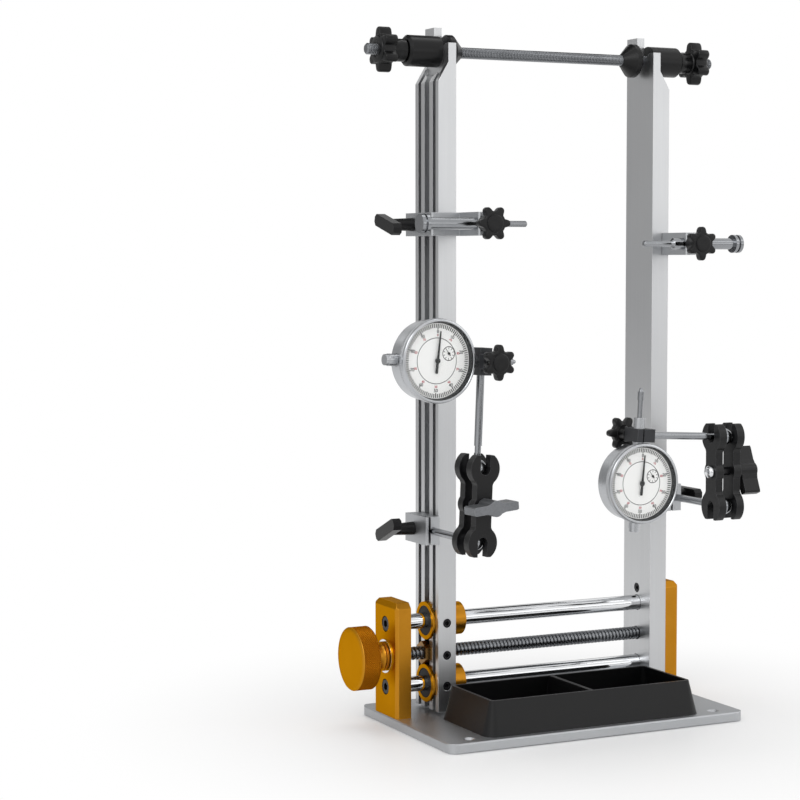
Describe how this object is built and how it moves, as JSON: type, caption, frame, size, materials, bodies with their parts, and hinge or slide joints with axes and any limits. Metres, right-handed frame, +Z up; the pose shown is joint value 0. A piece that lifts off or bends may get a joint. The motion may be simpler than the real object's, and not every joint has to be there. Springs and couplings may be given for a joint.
{
  "type": "bicycle wheel truing stand",
  "caption": "Bench-top wheel truing stand with forked uprights, a screw-driven sliding carriage, pointed feelers and dial indicators on ball-jointed arms",
  "frame": {"origin": "centre of the base plate's underside, where the stand rests on the bench", "axes": "+X to the right along the axle, towards the fixed upright; +Y to the back; +Z up"},
  "size_m": [0.3158, 0.1501, 0.4966],
  "materials": {
    "black_anodised": "black anodised, bead blasted",
    "black_oxide": "black oxide",
    "black_plastic": "moulded, fine grain",
    "bright_steel": "ground and polished",
    "bronze_nut": "turned bronze",
    "charcoal_clamp": "blackened steel",
    "clear_crystal": "clear",
    "dial_metal": "satin plated",
    "dial_white": "printed white",
    "gold_anodised": "gold anodised, fine brushed",
    "grey_zinc": "grey die casting",
    "needle_black": "blackened",
    "rubber_seal": "soft rubber",
    "satin_aluminium": "satin anodised, extruded and milled"
  },
  "bodies": {
    "root": {"base_plate": "satin_aluminium", "left_end_plate": "gold_anodised", "right_end_plate": "gold_anodised", "guide_rods": "bright_steel", "frame_screws": "black_oxide", "screw_bearing": "bright_steel", "right_upright": "satin_aluminium", "parts_tray": "black_plastic", "axle_rod": "bright_steel", "right_cone_and_sleeve": "black_plastic"},
    "lead_screw": {"lead_screw": "bright_steel", "adjusting_knob": "gold_anodised"},
    "carriage": {"left_upright": "satin_aluminium", "rod_bushes": "gold_anodised", "bush_seals": "rubber_seal", "lead_nut": "bronze_nut", "set_screws": "black_oxide", "left_cone_and_sleeve": "black_plastic"},
    "left_axle_knob": {"left_axle_knob": "black_plastic"},
    "right_axle_knob": {"right_axle_knob": "black_plastic"},
    "left_feeler": {"left_feeler_bracket": "satin_aluminium"},
    "left_feeler_screw": {"left_feeler_screw": "black_plastic"},
    "left_feeler_pin": {"left_feeler_pin": "bright_steel"},
    "left_feeler_knob": {"left_feeler_knob": "black_plastic"},
    "left_arm_base": {"left_arm_block": "satin_aluminium", "left_lower_rod": "bright_steel"},
    "left_arm_screw": {"left_arm_screw": "black_plastic"},
    "left_arm": {"left_arm_plates": "black_anodised"},
    "left_arm_lever": {"left_arm_lever": "grey_zinc"},
    "left_dial_arm": {"left_upper_rod": "bright_steel", "left_dial_clamp": "charcoal_clamp"},
    "left_clamp_knob": {"left_clamp_knob": "black_plastic"},
    "left_dial": {"left_dial_case": "dial_metal", "left_dial_face": "dial_white"},
    "left_bezel": {"left_dial_bezel": "dial_metal", "left_dial_scale": "dial_white", "left_dial_crystal": "clear_crystal"},
    "left_needle": {"left_needle": "needle_black"},
    "left_small_needle": {"left_small_needle": "needle_black"},
    "left_spindle": {"left_spindle": "bright_steel"},
    "right_feeler": {"right_feeler_bracket": "satin_aluminium"},
    "right_feeler_screw": {"right_feeler_screw": "black_plastic"},
    "right_feeler_pin": {"right_feeler_pin": "bright_steel"},
    "right_feeler_knob": {"right_feeler_knob": "black_plastic"},
    "right_arm_base": {"right_arm_block": "satin_aluminium", "right_lower_rod": "bright_steel"},
    "right_arm_screw": {"right_arm_screw": "black_plastic"},
    "right_arm": {"right_arm_plates": "black_anodised"},
    "right_arm_lever": {"right_arm_lever": "black_plastic"},
    "right_dial_arm": {"right_upper_rod": "bright_steel", "right_dial_clamp": "charcoal_clamp"},
    "right_clamp_knob": {"right_clamp_knob": "black_plastic"},
    "right_dial": {"right_dial_case": "dial_metal", "right_dial_face": "dial_white"},
    "right_bezel": {"right_dial_bezel": "dial_metal", "right_dial_scale": "dial_white", "right_dial_crystal": "clear_crystal"},
    "right_needle": {"right_needle": "needle_black"},
    "right_small_needle": {"right_small_needle": "needle_black"},
    "right_spindle": {"right_spindle": "bright_steel"}
  },
  "joints": [
    {"name": "lead_screw_spin", "type": "hinge", "parent": "root", "child": "lead_screw", "pos_m": [0, 0.032, 0.0496], "axis": [1, 0, 0], "range_deg": [-7200, 960]},
    {"name": "carriage_slide", "type": "slide", "parent": "root", "child": "carriage", "axis": [1, 0, 0], "range_m": [-0.0079, 0.0599]},
    {"name": "left_axle_knob_spin", "type": "hinge", "parent": "carriage", "child": "left_axle_knob", "pos_m": [-0.1011, 0.032, 0.4791], "axis": [1, 0, 0], "continuous": true},
    {"name": "right_axle_knob_spin", "type": "hinge", "parent": "root", "child": "right_axle_knob", "pos_m": [0.1228, 0.032, 0.4791], "axis": [1, 0, 0], "continuous": true},
    {"name": "left_feeler_height", "type": "slide", "parent": "carriage", "child": "left_feeler", "axis": [0, 0, 1], "range_m": [-0.04, 0.06]},
    {"name": "left_feeler_screw_turn", "type": "hinge", "parent": "left_feeler", "child": "left_feeler_screw", "pos_m": [-0.1011, 0.032, 0.3569], "axis": [1, 0, 0], "continuous": true},
    {"name": "left_feeler_reach", "type": "slide", "parent": "left_feeler", "child": "left_feeler_pin", "axis": [1, 0, 0], "range_m": [-0.006, 0.015]},
    {"name": "left_feeler_knob_turn", "type": "hinge", "parent": "left_feeler", "child": "left_feeler_knob", "pos_m": [-0.07055, -0.02767, 0.3569], "axis": [0, 1, 0], "continuous": true},
    {"name": "right_feeler_height", "type": "slide", "parent": "root", "child": "right_feeler", "axis": [0, 0, 1], "range_m": [-0.04, 0.06]},
    {"name": "right_feeler_screw_turn", "type": "hinge", "parent": "right_feeler", "child": "right_feeler_screw", "pos_m": [0.1228, 0.032, 0.3434], "axis": [1, 0, 0], "continuous": true},
    {"name": "right_feeler_reach", "type": "slide", "parent": "right_feeler", "child": "right_feeler_pin", "axis": [-1, 0, 0], "range_m": [-0.006, 0.015]},
    {"name": "right_feeler_knob_turn", "type": "hinge", "parent": "right_feeler", "child": "right_feeler_knob", "pos_m": [0.10555, -0.01877, 0.3434], "axis": [0, 1, 0], "continuous": true},
    {"name": "left_arm_height", "type": "slide", "parent": "carriage", "child": "left_arm_base", "axis": [0, 0, 1], "range_m": [-0.03, 0.02]},
    {"name": "left_arm_screw_turn", "type": "hinge", "parent": "left_arm_base", "child": "left_arm_screw", "pos_m": [-0.1011, 0.032, 0.1402], "axis": [1, 0, 0], "continuous": true},
    {"name": "left_arm_swing", "type": "hinge", "parent": "left_arm_base", "child": "left_arm", "pos_m": [-0.09024, -0.0503, 0.1402], "axis": [0, 1, 0], "range_deg": [-15, 15]},
    {"name": "left_arm_lever_turn", "type": "hinge", "parent": "left_arm", "child": "left_arm_lever", "pos_m": [-0.08923, -0.0503, 0.16543], "axis": [-0.0784, 0.9969, 0.0031], "continuous": true},
    {"name": "left_rod_swing", "type": "hinge", "parent": "left_arm", "child": "left_dial_arm", "pos_m": [-0.08821, -0.0503, 0.19066], "axis": [-0.0784, 0.9969, 0.0031], "range_deg": [-20, 20]},
    {"name": "left_clamp_knob_turn", "type": "hinge", "parent": "left_dial_arm", "child": "left_clamp_knob", "pos_m": [-0.0853, -0.0503, 0.2633], "axis": [-0.0784, 0.9969, 0.0031], "continuous": true},
    {"name": "left_dial_swivel", "type": "hinge", "parent": "left_dial_arm", "child": "left_dial", "pos_m": [-0.12434, -0.05338, 0.26487], "axis": [0.9961, 0.0785, -0.04], "range_deg": [-25, 25]},
    {"name": "left_bezel_turn", "type": "hinge", "parent": "left_dial", "child": "left_bezel", "pos_m": [-0.12434, -0.05338, 0.26487], "axis": [-0.0784, 0.9969, 0.0031], "continuous": true},
    {"name": "left_spindle_press", "type": "slide", "parent": "left_dial", "child": "left_spindle", "axis": [0.9961, 0.0785, -0.04], "range_m": [-0.01, 0], "stiffness_N_per_m": 100, "springref_m": 0.01},
    {"name": "left_needle_turn", "type": "hinge", "parent": "left_dial", "child": "left_needle", "pos_m": [-0.12434, -0.05338, 0.26487], "axis": [-0.0784, 0.9969, 0.0031], "range_deg": [-3700, 10]},
    {"name": "left_small_needle_turn", "type": "hinge", "parent": "left_dial", "child": "left_small_needle", "pos_m": [-0.11509, -0.05266, 0.26955], "axis": [-0.0784, 0.9969, 0.0031], "range_deg": [-5, 370]},
    {"name": "right_arm_height", "type": "slide", "parent": "root", "child": "right_arm_base", "axis": [0, 0, 1], "range_m": [-0.03, 0.02]},
    {"name": "right_arm_screw_turn", "type": "hinge", "parent": "right_arm_base", "child": "right_arm_screw", "pos_m": [0.1228, 0.032, 0.1538], "axis": [1, 0, 0], "continuous": true},
    {"name": "right_arm_swing", "type": "hinge", "parent": "right_arm_base", "child": "right_arm", "pos_m": [0.11326, -0.0503, 0.1538], "axis": [0, -1, 0], "range_deg": [-15, 15]},
    {"name": "right_arm_lever_turn", "type": "hinge", "parent": "right_arm", "child": "right_arm_lever", "pos_m": [0.11326, -0.0503, 0.17905], "axis": [1, 0, 0], "continuous": true},
    {"name": "right_rod_turn", "type": "hinge", "parent": "right_arm", "child": "right_dial_arm", "pos_m": [0.11326, -0.0503, 0.2043], "axis": [-0.9986, 0, 0.0523], "range_deg": [-25, 25]},
    {"name": "right_clamp_knob_turn", "type": "hinge", "parent": "right_dial_arm", "child": "right_clamp_knob", "pos_m": [0.04136, -0.0503, 0.20807], "axis": [0, 1, 0], "continuous": true},
    {"name": "right_dial_swivel", "type": "hinge", "parent": "right_dial_arm", "child": "right_dial", "pos_m": [0.0396, -0.0503, 0.17451], "axis": [0.0523, 0, 0.9986], "range_deg": [-25, 25]},
    {"name": "right_bezel_turn", "type": "hinge", "parent": "right_dial", "child": "right_bezel", "pos_m": [0.0396, -0.0503, 0.17451], "axis": [0, 1, 0], "continuous": true},
    {"name": "right_spindle_press", "type": "slide", "parent": "right_dial", "child": "right_spindle", "axis": [0.0523, 0, 0.9986], "range_m": [-0.01, 0], "stiffness_N_per_m": 100, "springref_m": 0.01},
    {"name": "right_needle_turn", "type": "hinge", "parent": "right_dial", "child": "right_needle", "pos_m": [0.0396, -0.0503, 0.17451], "axis": [0, 1, 0], "range_deg": [-3700, 10]},
    {"name": "right_small_needle_turn", "type": "hinge", "parent": "right_dial", "child": "right_small_needle", "pos_m": [0.04894, -0.0503, 0.17908], "axis": [0, 1, 0], "range_deg": [-5, 370]}
  ],
  "couplings": [
    {"joint": "lead_screw_spin", "follows": "carriage_slide", "rad_per_m": -2094.4},
    {"joint": "left_needle_turn", "follows": "left_spindle_press", "rad_per_m": 6283.2},
    {"joint": "left_small_needle_turn", "follows": "left_spindle_press", "rad_per_m": -628.32},
    {"joint": "right_needle_turn", "follows": "right_spindle_press", "rad_per_m": 6283.2},
    {"joint": "right_small_needle_turn", "follows": "right_spindle_press", "rad_per_m": -628.32}
  ]
}
